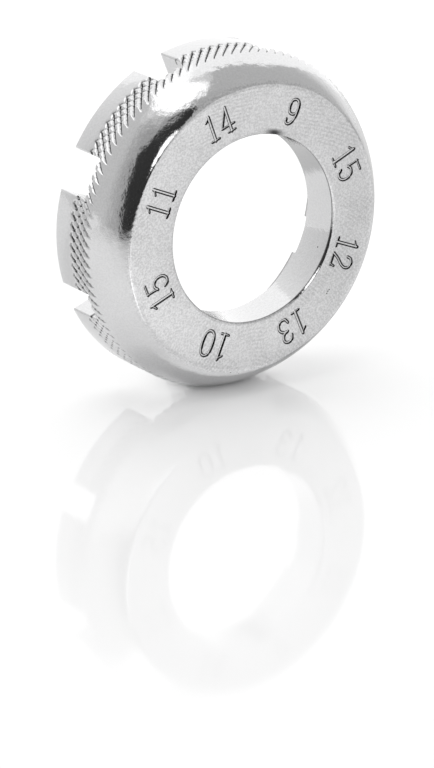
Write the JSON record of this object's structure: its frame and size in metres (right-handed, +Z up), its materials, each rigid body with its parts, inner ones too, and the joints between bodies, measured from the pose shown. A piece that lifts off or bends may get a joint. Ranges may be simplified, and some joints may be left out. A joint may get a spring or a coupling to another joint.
{
  "type": "round spoke wrench",
  "caption": "Round one-piece spoke wrench: a plated ring with a knurled grip, a numbered front face and graded nipple slots open at the back.",
  "frame": {"origin": "on the floor, under the middle of the ring as it stands on its edge", "axes": "+Z up, +Y along the ring's axis from the numbered face to the slotted back, +X to the right seen from the numbered face"},
  "size_m": [0.037, 0.0098, 0.037],
  "materials": {
    "plated_casting": "bright nickel plate over a die casting"
  },
  "bodies": {
    "root": {"wrench_ring": "plated_casting"}
  },
  "joints": []
}
